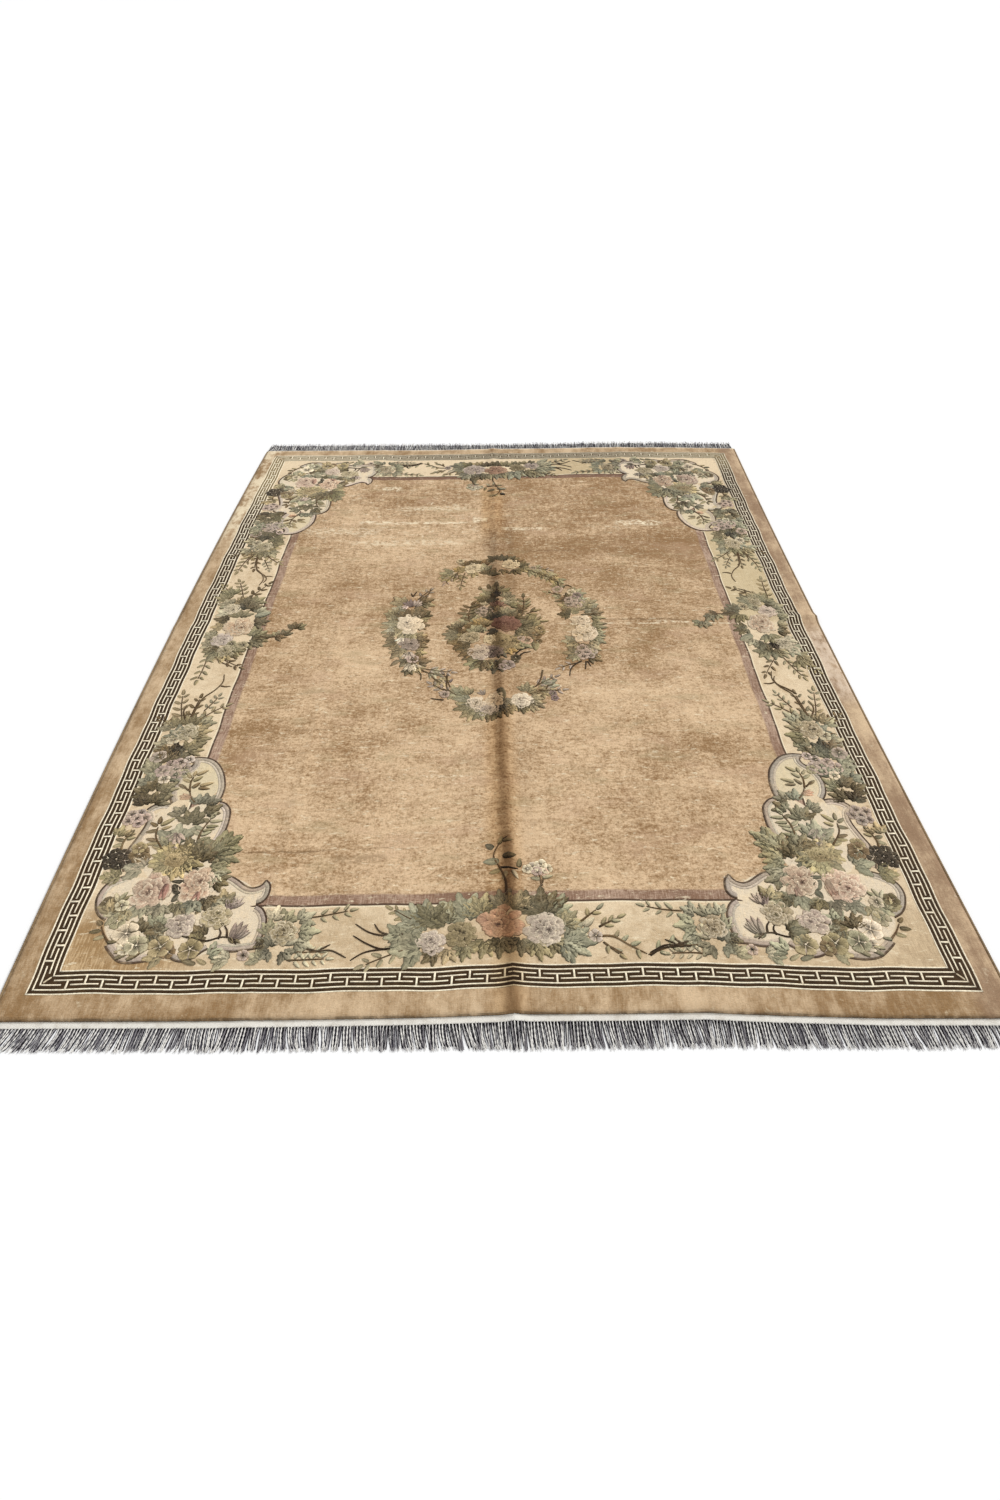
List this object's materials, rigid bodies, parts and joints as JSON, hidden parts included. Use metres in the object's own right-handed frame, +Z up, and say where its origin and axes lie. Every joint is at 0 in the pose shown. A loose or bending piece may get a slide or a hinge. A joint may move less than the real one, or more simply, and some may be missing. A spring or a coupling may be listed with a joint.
{
  "type": "tibetan rug",
  "caption": "Hand-knotted carved floral pile rug with a key fret border, corded long sides, woven end webs and fringe, lying flat with soft fold ridges.",
  "frame": {"origin": "under the middle of the rug, on the floor that it lies on", "axes": "+X to the right across the rug, +Y along its length away from the near end, +Z up out of the pile"},
  "size_m": [2.4767, 3.2267, 0.0275],
  "materials": {
    "pile": "cut wool and silk pile, washed gold tan, with a directional sheen",
    "side_cord": "overcast wool yarn, matt",
    "warp_cotton": "flat-woven cotton web with loose twisted warp fringe, matt"
  },
  "bodies": {
    "root": {"pile_rug": "pile", "side_cord_left": "side_cord", "side_cord_right": "side_cord", "fringed_web_near": "warp_cotton", "fringed_web_far": "warp_cotton"}
  },
  "joints": []
}
